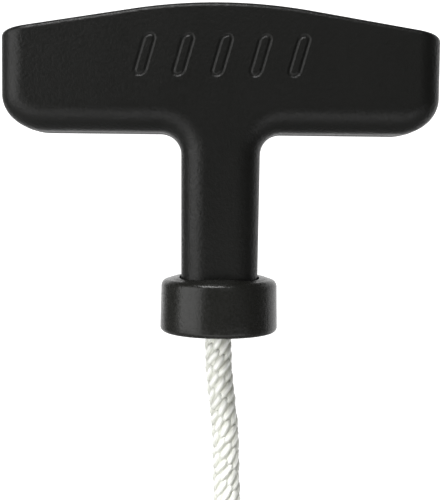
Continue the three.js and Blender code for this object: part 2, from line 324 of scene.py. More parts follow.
def woven_strap(colour):
    """A narrow woven strap: its ribs cross it, and its threads stand out along them."""
    finish = Finish("woven_black", IOR=1.5, Specular_IOR_Level=0.3, Sheen_Weight=0.2, Sheen_Roughness=0.5)
    along, across = finish.unwrapped()
    ribs = (along * (2 * math.pi / RIB_SPACING)).sine()
    threads = (across * (2 * math.pi / THREAD_SPACING)).sine()
    cloth = ribs * threads * 0.5 + 0.5
    fuzz = finish.noise(5000, 3, 0.7)
    finish.set(Base_Color=finish.mix(cloth * 0.6 + fuzz * 0.4, toned(colour, 0.55), toned(colour, 1.5)))
    finish.set(Roughness=fuzz * 0.2 + 0.65)
    finish.bump(cloth + fuzz * 0.5, 0.00014)
    return finish.material


def studio_paper(colour, light_side, dim_side):
    """Seamless paper that glows behind the object and is dim in front of it and beneath it."""
    finish = Finish("studio_paper", Roughness=0.9, Specular_IOR_Level=0.1, Emission_Strength=1.0)
    bearing = finish.vector("NORMALIZE", finish.vector("MULTIPLY", finish.place, (1, 1, 0)))
    behind = finish.vector("DOT_PRODUCT", bearing, PAPER_GLOW_TOWARDS, output="Value")
    away = finish.vector("LENGTH", finish.place, output="Value")
    level = finish.ramp(behind, 0.375, 0.72) * finish.ramp(away, 0.5, 0.75)
    finish.set(Base_Color=finish.mix(finish.noise(3, 2), toned(colour), toned(colour, 0.97)))
    finish.set(Emission_Color=finish.mix(level, (*[dim_side] * 3, 1.0), (*[light_side] * 3, 1.0)))
    return finish.material


# --- Meshes ---

def arc(centre, radius, start, end, steps):
    """Points round a centre from one angle to another, in degrees."""
    angles = np.radians(np.linspace(start, end, steps + 1))
    return [(centre[0] + radius * math.cos(a), centre[1] + radius * math.sin(a)) for a in angles]


def upright(radius, angle, height):
    """A point at a radius, an angle and a height about the Z axis."""
    return radius * math.cos(angle), radius * math.sin(angle), height


def add_object(name, data):
    """A new object in the scene."""
    thing = bpy.data.objects.new(name, data)
    bpy.context.scene.collection.objects.link(thing)
    return thing


def add_mesh(name, points, faces, uvs=None):
    """A mesh object from points and faces, with a UV for each point if given."""
    mesh = bpy.data.meshes.new(name)
    mesh.from_pydata([tuple(p) for p in points], [], [tuple(f) for f in faces])
    if uvs:
        layer = mesh.uv_layers.new(name="UVMap")
        for loop in mesh.loops:
            layer.data[loop.index].uv = uvs[loop.vertex_index]
    return add_object(name, mesh)


def tidy(thing, gap=1e-6):
    """Welds a mesh's seams, unless the gap is none, and turns its faces outwards."""
    work = bmesh.new()
    work.from_mesh(thing.data)
    if gap:
        bmesh.ops.remove_doubles(work, verts=work.verts, dist=gap)
        bmesh.ops.dissolve_degenerate(work, edges=work.edges, dist=gap / 10)
    bmesh.ops.recalc_face_normals(work, faces=work.faces)
    work.to_mesh(thing.data)
    work.free()


def smooth(thing, degrees=None):
    """Smooth faces, with the edges kept sharp that turn by more than an angle, if one is given."""
    thing.data.polygons.foreach_set("use_smooth", [True] * len(thing.data.polygons))
    if degrees:
        thing.data.set_sharp_from_angle(angle=math.radians(degrees))


def loft(rows, closed_round=True, closed_along=False):
    """Points and faces of a surface through rows of points."""
    count = len(rows[0])
    points = [p for row in rows for p in row]
    faces = []
    for i in range(len(rows) if closed_along else len(rows) - 1):
        for j in range(count if closed_round else count - 1):
            a, b = i * count, (i + 1) % len(rows) * count
            k = (j + 1) % count
            faces.append((a + j, a + k, b + k, b + j))
    return points, faces


def turned(name, profile, steps=96, closed=True):
    """A profile of (radius, height) points turned about the Z axis. A closed one makes a solid."""
    angles = np.linspace(0, 2 * math.pi, steps, endpoint=False)
    rows = [[upright(radius, angle, height) for angle in angles] for radius, height in profile]
    thing = add_mesh(name, *loft(rows, closed_along=closed))
    if closed:
        tidy(thing)
    return thing


def cut(thing, cutter):
    """Takes a cutter's shape out of a piece."""
    modifier = thing.modifiers.new("cut", "BOOLEAN")
    modifier.operation = "DIFFERENCE"
    modifier.solver = "MANIFOLD"
    modifier.object = cutter
    bake(thing)
    bpy.data.objects.remove(cutter)


def bake(thing):
    """Puts a piece's modifiers into its mesh."""
    bpy.context.view_layer.update()
    shown = thing.evaluated_get(bpy.context.evaluated_depsgraph_get())
    mesh = bpy.data.meshes.new_from_object(shown)
    thing.modifiers.clear()
    thing.data = mesh


def join(name, things):
    """One mesh object from several."""
    work = bmesh.new()
    for thing in things:
        work.from_mesh(thing.data)
    mesh = bpy.data.meshes.new(name)
    work.to_mesh(mesh)
    work.free()
    for thing in things:
        bpy.data.objects.remove(thing)
    return add_object(name, mesh)


def place(thing, material, body, slot, *nodes):
    """Gives a piece its finish and its body, and hides the frame's nodes that it stands for."""
    thing.data.materials.clear()
    thing.data.materials.append(material)
    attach(thing, body)
    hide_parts(*nodes)


# --- Geometry Nodes ---

class Pattern(Nodes):
    """A Geometry Nodes tree with named inputs, run once on an empty mesh."""

    def __init__(self, name, **inputs):
        super().__init__(bpy.data.node_groups.new(name, "GeometryNodeTree"))
        self.sockets = {}
        for title, kind in inputs.items():
            self.sockets[title] = self.tree.interface.new_socket(
                title, in_out="INPUT", socket_type="NodeSocket" + kind)
        self.tree.interface.new_socket("Geometry", in_out="OUTPUT", socket_type="NodeSocketGeometry")
        start = self.tree.nodes.new("NodeGroupInput")
        self.given = {title: Varying(self, self.find(start.outputs, title)) for title in inputs}

    def shape(self, title, whole=False):
        """The geometry of an object that the tree is given, as one instance if it is wanted whole."""
        return self.make("GeometryNodeObjectInfo", inputs={
            "Object": self.given[title], "As Instance": whole}, output="Geometry")

    def random(self, index, seed, low=0.0, high=1.0):
        """A number for each index, the same in each run."""
        return self.make("FunctionNodeRandomValue", {"data_type": "FLOAT"}, {
            "Min_001": low, "Max_001": high, "ID": index, "Seed": seed}, "Value_001")

    def end(self, geometry):
        """Realizes the tree's instances and gives them their material."""
        real = self.make("GeometryNodeRealizeInstances", inputs={"Geometry": geometry})
        done = self.make("GeometryNodeSetMaterial", inputs={
            "Geometry": real, "Material": self.given["Material"]})
        finish = self.tree.nodes.new("NodeGroupOutput")
        self.tree.links.new(done.socket, finish.inputs[0])

    def run(self, name, **values):
        """A mesh object with what the tree makes of these values. The tree and its objects are used up."""
        thing = add_object(name, bpy.data.meshes.new(name))
        modifier = thing.modifiers.new(self.tree.name, "NODES")
        modifier.node_group = self.tree
        for title, value in values.items():
            modifier[self.sockets[title].identifier] = value
        bake(thing)
        if not thing.data.polygons:
            raise RuntimeError(f"the {self.tree.name} tree made nothing for {name}")
        for value in values.values():
            if isinstance(value, bpy.types.Object):
                bpy.data.objects.remove(value)
        bpy.data.node_groups.remove(self.tree)
        return thing


def braid_pattern():
    """Slanted stitches in columns round a path, on a round core."""
    tree = Pattern("Braid", Path="Object", Stitch="Object", Columns="Int", Pitch="Float", Step="Float",
                   Core_Radius="Float", Scale="Float", End_Gap="Float", Seed="Int", Material="Material")
    given = tree.given
    path, stitch = tree.shape("Path"), tree.shape("Stitch", whole=True)
    length = tree.make("GeometryNodeCurveLength", inputs={"Curve": path})

    rows = ((length - given["End_Gap"] * 2) / given["Pitch"]).floor()
    index = tree.make("GeometryNodeInputIndex")
    column = index % given["Columns"]
    row = (index / given["Columns"]).floor()
    shift = (column * given["Step"] * -1) % given["Pitch"]
    along = row * given["Pitch"] + shift + given["End_Gap"]

    sample = tree.tree.nodes.new("GeometryNodeSampleCurve")
    sample.mode = "LENGTH"
    tree.fill(sample.inputs["Curves"], path)
    tree.fill(tree.find(sample.inputs, "Length"), along)
    where, ahead, side = [Varying(tree, tree.find(sample.outputs, title))
                          for title in ("Position", "Tangent", "Normal")]

    points = tree.make("GeometryNodePoints", inputs={"Count": rows * given["Columns"], "Position": where})
    stand = tree.make("FunctionNodeAxesToRotation", {"primary_axis": "Z", "secondary_axis": "X"}, {
        "Primary Axis": ahead, "Secondary Axis": side})
    turn = column * (2 * math.pi) / given["Columns"]
    tilt = tree.random(index, given["Seed"] + 1, -STITCH_TILT, STITCH_TILT)
    for axis, angle in (((0, 0, 1), turn), ((1, 0, 0), tilt)):
        stand = tree.make("FunctionNodeRotateRotation", {"rotation_space": "LOCAL"}, {
            "Rotation": stand, "Rotate By": tree.make("FunctionNodeAxisAngleToRotation", inputs={
                "Axis": axis, "Angle": angle})})
    stitches = tree.make("GeometryNodeInstanceOnPoints", inputs={
        "Points": points, "Instance": stitch, "Rotation": stand, "Scale": given["Scale"]})
    stitches = tree.make("GeometryNodeStoreNamedAttribute", {"data_type": "FLOAT", "domain": "INSTANCE"}, {
        "Geometry": stitches, "Name": "tint", "Value": tree.random(index, given["Seed"])})

    ring = tree.make("GeometryNodeCurvePrimitiveCircle", {"mode": "RADIUS"}, {
        "Resolution": given["Columns"], "Radius": given["Core_Radius"] * given["Scale"]})
    core = tree.make("GeometryNodeCurveToMesh", inputs={
        "Curve": path, "Profile Curve": ring, "Fill Caps": True})
    tree.end(tree.make("GeometryNodeJoinGeometry", inputs={"Geometry": [stitches, core]}))
    return tree


def row_pattern():
    """A shape set out in a row along the X axis, about the origin."""
    tree = Pattern("Row", Shape="Object", Count="Int", Pitch="Float", Material="Material")
    given = tree.given
    across = (tree.make("GeometryNodeInputIndex") - (given["Count"] - 1) * 0.5) * given["Pitch"]
    points = tree.make("GeometryNodePoints", inputs={
        "Count": given["Count"], "Position": tree.make("ShaderNodeCombineXYZ", inputs={"X": across})})
    tree.end(tree.make("GeometryNodeInstanceOnPoints", inputs={
        "Points": points, "Instance": tree.shape("Shape")}))
    return tree


# --- Rope ---

STITCH_SLANT = math.radians(40)
STITCH_TILT = 0.16  # the most that a stitch leans off its slant, in radians
STITCH_RINGS = (-0.86, -0.48, 0, 0.48, 0.86)
STITCH_SECTION = (0, 48, 90, 132, 180)
STITCH_SEED, TIP_SEED = 7, 11
LINE_SPACING = 3.4 * MM
SPAN_STEPS = 12
ROPE_END_RADIUS, KNOT_END_RADIUS = 2.95 * MM, 2.6 * MM
KNOT_SCALE = 0.9
TIP_LUMP = 0.07  # the most that a melted end's wall strays, as a share of its radius
TIP_SIDES = 18


def smooth_line(points, spacing):
    """Points a spacing apart along a smooth line through the given ones."""
    p = np.array(points, float)
    p = np.vstack([2 * p[0] - p[1], p, 2 * p[-1] - p[-2]])
    line = []

    def between(first, second, start, end, t):
        return ((end - t) * first + (t - start) * second) / (end - start)

    for i in range(1, len(p) - 2):
        gaps = [max(np.linalg.norm(p[i + k] - p[i + k - 1]), 1e-9) ** 0.5 for k in range(3)]
        knots = np.cumsum([0, *gaps])
        for t in np.linspace(knots[1], knots[2], SPAN_STEPS, endpoint=False):
            near = [between(p[i - 1 + k], p[i + k], knots[k], knots[k + 1], t) for k in range(3)]
            wide = [between(near[k], near[k + 1], knots[k], knots[k + 2], t) for k in range(2)]
            line.append(between(*wide, knots[1], knots[2], t))
    line = np.array([*line, p[-2]])
    travelled = np.concatenate([[0], np.cumsum(np.linalg.norm(np.diff(line, axis=0), axis=1))])
    stations = np.linspace(0, travelled[-1], max(3, round(travelled[-1] / spacing) + 1))
    return np.stack([np.interp(stations, travelled, line[:, axis]) for axis in range(3)], 1)


def line_length(line):
    return float(np.linalg.norm(np.diff(line, axis=0), axis=1).sum())


def path_object(line):
    """A curve through a line's points, whose sides turn as little as they can."""
    curve = bpy.data.curves.new("path", "CURVE")
    curve.dimensions = "3D"
    curve.twist_mode = "MINIMUM"
    spline = curve.splines.new("POLY")
    spline.points.add(len(line) - 1)
    for point, spot in zip(spline.points, line):
        point.co = (*spot, 1)
    return add_object("path", curve)


def stitch_object(sizes):
    """One stitch, bent round the rope: its path runs along Z and the stitch lies towards X."""
    half_long, half_wide = sizes.stitch_length / 2, sizes.stitch_width / 2
    base = sizes.core_radius
    rise = ROPE_RADIUS + sizes.stitch_proud - base

    def spot(u, q, radius):
        turn = (u * half_long * math.sin(STITCH_SLANT) + q * math.cos(STITCH_SLANT)) / ROPE_RADIUS
        height = u * half_long * math.cos(STITCH_SLANT) - q * math.sin(STITCH_SLANT)
        return upright(radius, turn, height)

    # Its ends, edges and keel lie in the core
    end_radius, edge_sink, keel_radius = base - 0.2 * MM, 0.15 * MM, base - 0.5 * MM
    points, uvs, faces = [spot(-1, 0, end_radius)], [(0.5, 0)], []
    count = len(STITCH_SECTION) + 1
    for u in STITCH_RINGS:
        full = (1 - abs(u) ** 2.4) ** 0.55
        for angle in map(math.radians, STITCH_SECTION):
            q, lift = -math.cos(angle) * half_wide * full, math.sin(angle)
            points.append(spot(u, q, base + rise * full * lift - edge_sink * (1 - lift)))
            uvs.append((q / half_wide / 2 + 0.5, u / 2 + 0.5))
        points.append(spot(u, 0, keel_radius))
        uvs.append((0.5, u / 2 + 0.5))
    points.append(spot(1, 0, end_radius))
    uvs.append((0.5, 1))
    for j in range(count):
        k = (j + 1) % count
        faces.append((0, 1 + k, 1 + j))
        for i in range(len(STITCH_RINGS) - 1):
            a, b = 1 + i * count, 1 + (i + 1) * count
            faces.append((a + j, a + k, b + k, b + j))
        last = 1 + (len(STITCH_RINGS) - 1) * count
        faces.append((last + j, last + k, len(points) - 1))
    stitch = add_mesh("stitch", points, faces, uvs)
    tidy(stitch, 1e-8)
    smooth(stitch, 180)
    return stitch


def braided(name, line, material, scale=1.0):
    """A length of braided rope along a line."""
    sizes = bpy.context.scene.pull_handle.rope
    rope = braid_pattern().run(
        name, Path=path_object(line), Stitch=stitch_object(sizes), Columns=sizes.columns,
        Pitch=sizes.pitch * scale, Step=sizes.step * scale, Core_Radius=sizes.core_radius, Scale=scale,
        End_Gap=0.5 * sizes.pitch * scale, Seed=STITCH_SEED, Material=material)
    smooth(rope, 70)
    return rope


def ease(share):
    """0 to 1 along half a cosine wave."""
    return (1 - math.cos(math.pi * min(1, max(0, share)))) / 2


def run_spread(z):
    """Distance from the hank's middle plane to its runs at a height."""
    if z > TIE_MIDDLE:
        share = (z - TIE_MIDDLE - WAIST_END) / (UPPER_FOLD - TIE_MIDDLE - WAIST_END)
    else:
        share = (TIE_MIDDLE - WAIST_END - z) / (TIE_MIDDLE - WAIST_END - LOWER_FOLD)
    return WAIST_HALF + (FOLD_HALF - WAIST_HALF) * ease(share)


def rope_line():
    """The hanging rope: out of the collar, down to the strap and round its hank to its end."""
    points = [*ROPE_ROUTE, *ROPE_LEAD_IN]
    waist_top, shift_start = TIE_MIDDLE + WAIST_END, TIE_MIDDLE + 16 * MM
    below = np.linspace(TIE_MIDDLE - WAIST_END, LOWER_FOLD, 11)
    above = np.linspace(waist_top, UPPER_FOLD, 11)
    round_fold = np.linspace(0, math.pi, 14)[1:-1]

    for layer, y in enumerate(LAYERS):
        if layer:
            points += [(run_spread(z), y, z) for z in above[::-1]]
        points += [(WAIST_HALF, y, TIE_MIDDLE + 2 * MM), (WAIST_HALF, y, TIE_MIDDLE - 2 * MM)]
        points += [(run_spread(z), y, z) for z in below]
        points += [(FOLD_HALF * math.cos(a), y, LOWER_FOLD - FOLD_HALF * math.sin(a)) for a in round_fold]
        points += [(-run_spread(z), y, z) for z in below[::-1]]
        points += [(-WAIST_HALF, y, TIE_MIDDLE - 2 * MM), (-WAIST_HALF, y, TIE_MIDDLE + 2 * MM)]
        if layer == len(LAYERS) - 1:
            points += [(-WAIST_HALF, y, waist_top), (-0.9 * WAIST_HALF, y, TIE_MIDDLE + 15 * MM)]
            break
        for z in above:
            shift = ease((z - shift_start) / (UPPER_FOLD - shift_start))
            points.append((-run_spread(z), y + ROPE_DIAMETER * shift, z))
        points += [(-FOLD_HALF * math.cos(a), y + ROPE_DIAMETER, UPPER_FOLD + FOLD_HALF * math.sin(a))
                   for a in round_fold]
    return smooth_line(points, LINE_SPACING)


def knot_line():
    """The knot: up through its middle, out and twice round, and back in with the tail on top."""
    inner, turns = 4.35 * MM, 1.72
    low, high = KNOT_LOW.z, KNOT_HIGH.z
    points = [(0, 0, low), (0.0002, 0.0001, low + 0.8 * MM)]
    # It swings out in its first fifth, climbs as it goes round, and draws in a little before the tail
    for share in np.linspace(0.12, 1, 26):
        angle = 2 * math.pi * turns * share - 0.6
        reach = inner * ease(share * 5.5) * (1 - 0.1 * ease((share - 0.85) / 0.15))
        height = low + 2.5 * MM + (high - low - 6.2 * MM) * ease(share * 0.93) ** 0.9
        points.append(upright(reach, angle, height))
    x, y, _ = Vector(points[-1])
    points += [(x * 0.55, y * 0.4, high - 2.4 * MM), (x * 0.05, y * -0.25, high - 1.1 * MM)]
    return smooth_line(points, 0.9 * MM)


def sealed_end(line, radius, material):
    """The melted end of a rope's line: a rough dome of fused nylon."""
    dome = [(0.9, -0.9), (1.0, -0.35), (0.99, -0.05), (0.9, 0.16), (0.68, 0.27), (0.34, 0.31), (0.02, 0.3)]
    turn = Vector(line[-1] - line[-3]).to_track_quat("Z", "Y").to_matrix()
    lumps = np.random.default_rng(TIP_SEED).uniform(-TIP_LUMP, TIP_LUMP, (len(dome), TIP_SIDES))
    lumps[-1] = 0
    rows = []
    for (reach, height), strays in zip(dome, lumps):
        ring = [upright(radius * reach * (1 + stray), 2 * math.pi * side / TIP_SIDES, radius * height)
                for side, stray in enumerate(strays)]
        rows.append([Vector(line[-1]) + turn @ Vector(spot) for spot in ring])
    points, faces = loft(rows)
    faces += [tuple(reversed(range(TIP_SIDES))), tuple(range(len(points) - TIP_SIDES, len(points)))]
    end = add_mesh("tip", points, faces)
    tidy(end)
    smooth(end, 32)
    end.data.materials.append(material)
    return end


def ended_rope(name, line, end_radius, material, scale=1.0):
    """A length of braided rope, melted shut where its line ends."""
    rope = join(name, [braided("braid", line, material, scale), sealed_end(line, end_radius, material)])
    smooth(rope)
    return rope


# --- Grip ---

def crown(x):
    """Height of the grip's top."""
    arc_half = CROWN_RADIUS * math.sin(SHOULDER_SLOPE)
    if abs(x) <= arc_half:
        return GRIP_HIGH.z - CROWN_RADIUS + math.sqrt(CROWN_RADIUS ** 2 - x * x)
    drop = CROWN_RADIUS * (1 - math.cos(SHOULDER_SLOPE))
    return GRIP_HIGH.z - drop - (abs(x) - arc_half) * math.tan(SHOULDER_SLOPE)


def neck_half(z):
    """Half width of the neck at a height."""
    share = (z - GRIP_LOW.z) / (UNDERSIDE - GRIP_LOW.z)
    return NECK_HALF_FOOT + (NECK_HALF_TOP - NECK_HALF_FOOT) * share


def grip_side():
    """The grip's outline from its end down to its foot, as (x, z, outward x, outward z), on the -X side."""
    half = GRIP_HIGH.x
    along, up = END_CORNER
    corner = (-half + along, UNDERSIDE + up)
    neck_x = neck_half(UNDERSIDE - NECK_FILLET)
    fillet = (-neck_x - NECK_FILLET, UNDERSIDE - NECK_FILLET)

    side = [(-half, z, -1, 0) for z in np.linspace(crown(half) - 2 * MM, corner[1], 5)[:-1]]
    for angle in np.linspace(math.pi, 1.5 * math.pi, 25):
        out = Vector((math.cos(angle) / along, math.sin(angle) / up)).normalized()
        side.append((corner[0] + along * math.cos(angle), corner[1] + up * math.sin(angle), out.x, out.y))
    side += [(x, UNDERSIDE, 0, -1) for x in np.linspace(corner[0], fillet[0], 8)[1:-1]]
    for angle in np.linspace(math.pi / 2, 0, 17):
        ray = (math.cos(angle), math.sin(angle))
        side.append((fillet[0] + NECK_FILLET * ray[0], fillet[1] + NECK_FILLET * ray[1], -ray[0], -ray[1]))
    side += [(-neck_half(z), z, -1, 0) for z in np.linspace(fillet[1], GRIP_LOW.z, 9)[1:]]
    return side


def grip_section(ridge_height, ridge_width):
    """The grip's edge from its front face round to its back, as (inward, y, outward turn)."""
    flat = GRIP_HIGH.y - EDGE_FILLET
    front = []
    for angle in np.radians(np.linspace(90, 0, 13)):
        front.append((EDGE_FILLET * (1 - math.cos(angle)), -flat - EDGE_FILLET * math.sin(angle), angle))
    front += [(0, -flat / 2, 0), (0, -ridge_width, 0), (-ridge_height, -ridge_width * 0.45, 0)]
    return front + [(inward, -y, -turn) for inward, y, turn in reversed(front)]


def make_grip_body(sizes):
    """The moulding: rounded edges, a crowned top with a small roll, and a parting line round its sides."""
    side = grip_side()
    section = grip_section(sizes.parting_height, sizes.parting_width)
    roll = sizes.top_roll
    front_y = -GRIP_HIGH.y
    inner_x = GRIP_HIGH.x - EDGE_FILLET
    points, faces = [], []

    def patch(rows, closed=False):
        start = len(points)
        more, quads = loft(rows, closed_round=closed)
        points.extend(more)
        faces.extend(tuple(start + i for i in quad) for quad in quads)

    def flat_face(outline):
        start = len(points)
        points.extend(outline)
        faces.append(tuple(range(start, len(points))))

    def edge_row(mirror, x, z, out_x, out_z):
        return [(mirror * (x - out_x * inward), y, z - out_z * inward) for inward, y, _ in section]

    # The loop where the top's roll starts, each point with the way that it faces
    loop = [(-GRIP_HIGH.x + inward, y, (-math.cos(turn), -math.sin(turn)))
            for inward, y, turn in reversed(section)]
    front_x = np.linspace(-inner_x, inner_x, 81)[1:-1]
    loop += [(x, front_y, (0, -1)) for x in front_x]
    loop += [(-x, y, (-out[0], out[1])) for x, y, out in reversed(loop[:len(section)])]
    loop += [(x, -front_y, (0, 1)) for x in reversed(front_x)]

    bands = {}
    for mirror in (1, -1):
        top = [(mirror * (-GRIP_HIGH.x + inward), y, crown(GRIP_HIGH.x - inward) - roll)
               for inward, y, _ in section]
        bands[mirror] = [top] + [edge_row(mirror, *spot) for spot in side]
        patch(bands[mirror])

    rolls = []
    for angle in np.radians(np.linspace(0, 90, 6)):
        inward, sink = roll * (1 - math.cos(angle)), roll * (1 - math.sin(angle))
        rolls.append([(x - out[0] * inward, y - out[1] * inward, crown(x - out[0] * inward) - sink)
                      for x, y, out in loop])
    patch(rolls, closed=True)

    # The cap is ruled from front to back, with a thin face at each end's flat
    cap = rolls[-1]
    flat_start = next(i for i, (_, _, turn) in enumerate(section) if abs(turn) < 1e-9)
    flat_end = len(section) - flat_start
    far = len(section) + len(front_x)
    front = cap[flat_end - 1:far + flat_start + 1]
    patch([front, [(x, -y, z) for x, y, z in front]])
    flat_face(cap[flat_start:flat_end])
    flat_face(cap[far + flat_start:far + flat_end])

    for face in (0, -1):
        rim = [row[face] for row in bands[1]]
        mirrored = [row[face] for row in bands[-1]]
        y = front_y if face == 0 else -front_y
        flat_face(rim + mirrored[::-1] + [(x, y, crown(x) - roll) for x in reversed(front_x)])
    flat_face(bands[1][-1] + bands[-1][-1][::-1])
    body = add_mesh("grip_moulding", points, faces)
    tidy(body, 2e-6)
    return body


def make_pocket_cutter():
    """The hole through the grip: the rope's bore, and the knot's pocket with a rounded lip."""
    top, lip = GRIP_HIGH.z, POCKET_LIP
    floor_round, bore_edge, clear = 0.6 * MM, 0.4 * MM, 10 * MM
    profile = [(1e-5, -clear), (BORE_RADIUS, -clear), (BORE_RADIUS, POCKET_FLOOR - bore_edge),
               (BORE_RADIUS + bore_edge, POCKET_FLOOR)]
    profile += arc((POCKET_RADIUS - floor_round, POCKET_FLOOR + floor_round), floor_round, -90, 0, 4)
    profile += arc((POCKET_RADIUS + lip, top - lip - 0.06 * MM), lip, 180, 90, 7)
    profile += [(POCKET_RADIUS + lip + 0.2 * MM, top + clear), (1e-5, top + clear)]
    return turned("pocket_cutter", profile)


def make_groove(sizes):
    """A cutter for one engraved bar: a slanted, round-ended outline that narrows as it goes in."""
    half, depth = sizes.groove_width / 2, sizes.groove_depth
    half_wide = sizes.bar_width / 2 - half
    reach = sizes.bar_height / 2 - half - half_wide
    line = [(half_wide * math.cos(a), reach + half_wide * math.sin(a)) for a in np.linspace(0, math.pi, 13)]
    line += [(-x, -z) for x, z in line]
    line = [Vector((x + z * math.tan(sizes.bar_slant), z)) for x, z in line]
    section = [(half + 0.4 * MM, -0.6 * MM), (half + 0.1 * MM, -0.02 * MM), (half * 0.8, depth * 0.2),
               (half * 0.15, depth)]
    section = [(-across, sink) for across, sink in section] + section[::-1]
    rows = []
    for i, spot in enumerate(line):
        along = (line[(i + 1) % len(line)] - line[i - 1]).normalized()
        out = Vector((along.y, -along.x))
        rows.append([(spot.x + out.x * across, sink - GRIP_HIGH.y, spot.y + out.y * across)
                     for across, sink in section])
    groove = add_mesh("groove", *loft(rows, closed_along=True))
    tidy(groove)
    return groove


# --- Collar, washer and strap ---

def socket_reach(angle):
    """Distance from the middle to the collar's socket, a rounded oblong, at an angle."""
    half_x, half_y = neck_half(COLLAR_HIGH.z) + FIT_GAP, GRIP_HIGH.y + FIT_GAP
    rounding = EDGE_FILLET + FIT_GAP
    low, high = 0.0, 50 * MM
    for _ in range(40):
        middle = (low + high) / 2
        x = max(0, abs(middle * math.cos(angle)) - half_x + rounding)
        y = max(0, abs(middle * math.sin(angle)) - half_y + rounding)
        if math.hypot(x, y) < rounding:
            low = middle
        else:
            high = middle
    return low


def make_collar(sizes):
    """The stop collar: a flared cup with a domed top, its socket round the neck's foot."""
    bottom, top = COLLAR_HIGH.x, COLLAR_HIGH.x - COLLAR_FLARE
    low_round, top_round = COLLAR_BOTTOM_ROUND, COLLAR_TOP_ROUND
    wall = COLLAR_RIM - top_round - low_round
    outside = arc((bottom - low_round, low_round), low_round, -90, 0, 8)
    outside += [(bottom + (top - bottom) * s, low_round + wall * s) for s in (0.25, 0.5, 0.75)]
    outside += arc((top - top_round, COLLAR_RIM - top_round), top_round, 0, 84, 10)
    rim_radius, rim_height = outside[-1]
    dome_width, dome_height = rim_radius - NECK_HALF_FOOT - FIT_GAP, COLLAR_HIGH.z - rim_height
    mouth = arc((BORE_RADIUS + MOUTH_FLARE, MOUTH_FLARE), MOUTH_FLARE, 180, 270, 8)
    lip, floor_round, bore_edge = sizes.socket_lip, 0.5 * MM, 0.3 * MM
    rows = []
    steps = 144
    for step in range(steps):
        angle = 2 * math.pi * (step + 0.5) / steps
        socket = socket_reach(angle)
        row = list(outside)
        for share in (0.3, 0.6, 0.85, 1.0):
            inward = (rim_radius - socket - lip) * share
            rise = 1 - (1 - min(1, inward / dome_width)) ** 1.6
            row.append((rim_radius - inward, rim_height + dome_height * rise))
        edge = row[-1][1]
        row += [(socket + lip * 0.3, edge - lip * 0.25), (socket, edge - lip),
                (socket, COLLAR_FLOOR + floor_round), (socket - floor_round, COLLAR_FLOOR),
                (BORE_RADIUS + bore_edge, COLLAR_FLOOR), (BORE_RADIUS, COLLAR_FLOOR - bore_edge), *mouth]
        rows.append([upright(radius, angle, height) for radius, height in row])
    collar = add_mesh("collar", *loft(rows, closed_along=True))
    tidy(collar)
    smooth(collar, 40)
    return collar


def make_washer():
    """A stamped washer: one edge rolled by the punch, the other left crisper."""
    inner, outer = BORE_RADIUS, WASHER_HIGH.x
    low, high = WASHER_LOW.z, WASHER_HIGH.z
    rolled, crisp = 0.35 * MM, 0.12 * MM
    profile = arc((outer - crisp, low + crisp), crisp, -90, 0, 3)
    profile += arc((outer - rolled, high - rolled), rolled, 0, 90, 6)
    profile += arc((inner + rolled, high - rolled), rolled, 90, 180, 6)
    profile += arc((inner + crisp, low + crisp), crisp, 180, 270, 3)
    washer = turned("washer", profile)
    smooth(washer, 32)
    return washer


def make_strap(sizes):
    """The strap, twice round the hank's waist, with its rounded end pressed down in front."""
    thick, width = sizes.strap_thickness, TIE_HIGH.z - TIE_LOW.z
    laps, first, corner_steps, end_rows = 2.06, 40, 14, 5
    section = [(-0.5, -0.5), (-0.44, -0.62), (0.44, -0.62), (0.5, -0.5), (0.5, 0.3), (0.46, 0.5), (0.36, 0.6),
               (-0.36, 0.6), (-0.46, 0.5), (-0.5, 0.3)]
    ring = []
    for x, y, start in ((1, 1, 0), (-1, 1, 90), (-1, -1, 180), (1, -1, 270)):
        corner = Vector((x * WAIST_HALF, y * LAYERS[-1]))
        for step in range(corner_steps + 1):
            angle = math.radians(start + 90 * step / corner_steps)
            ring.append((corner, Vector((math.cos(angle), math.sin(angle)))))
    lap = []
    for index, (centre, out) in enumerate(ring):
        following = ring[(index + 1) % len(ring)][0]
        lap.append((centre, out))
        if (following - centre).length > 1e-6:
            lap += [(centre.lerp(following, s), out) for s in (0.2, 0.4, 0.6, 0.8)]

    total = int(laps * len(lap))
    rows, uvs, run, before = [], [], 0.0, None
    for index in range(total):
        centre, out = lap[(first + index) % len(lap)]
        reach = ROPE_RADIUS + STRAP_GAP + thick * 0.62 + sizes.strap_step * index / len(lap)
        spot = centre + out * reach
        run += (spot - before).length if before else 0.0
        before = spot
        left = min(1, (total - 1 - index) / end_rows)
        taper = math.sqrt(1 - (1 - left) ** 2) * 0.75 + 0.25
        rows.append([(spot.x + out.x * thick * t, spot.y + out.y * thick * t, TIE_MIDDLE + width * w * taper)
                     for w, t in section])
        uvs += [(run / MM, w * width / MM) for w, _ in section]
    points, faces = loft(rows)
    faces += [tuple(range(len(section))), tuple(reversed(range(len(points) - len(section), len(points))))]
    strap = add_mesh("hank_strap", points, faces, uvs)
    tidy(strap, gap=None)
    smooth(strap, 50)
    return strap


# --- Settings ---

def length_property(title, about, default):
    return bpy.props.FloatProperty(
        name=title, description=about, default=default, subtype="DISTANCE", unit="LENGTH", precision=5)


def colour_property(title, about, default):
    return bpy.props.FloatVectorProperty(
        name=title, description=about, default=default, subtype="COLOR", min=0.0, max=1.0)


def place_property(title, about, default):
    return bpy.props.FloatVectorProperty(
        name=title, description=about, default=default, subtype="TRANSLATION", unit="LENGTH", precision=4)


def angle_property(title, about, degrees):
    return bpy.props.FloatProperty(
        name=title, description=about, default=math.radians(degrees), subtype="ANGLE")


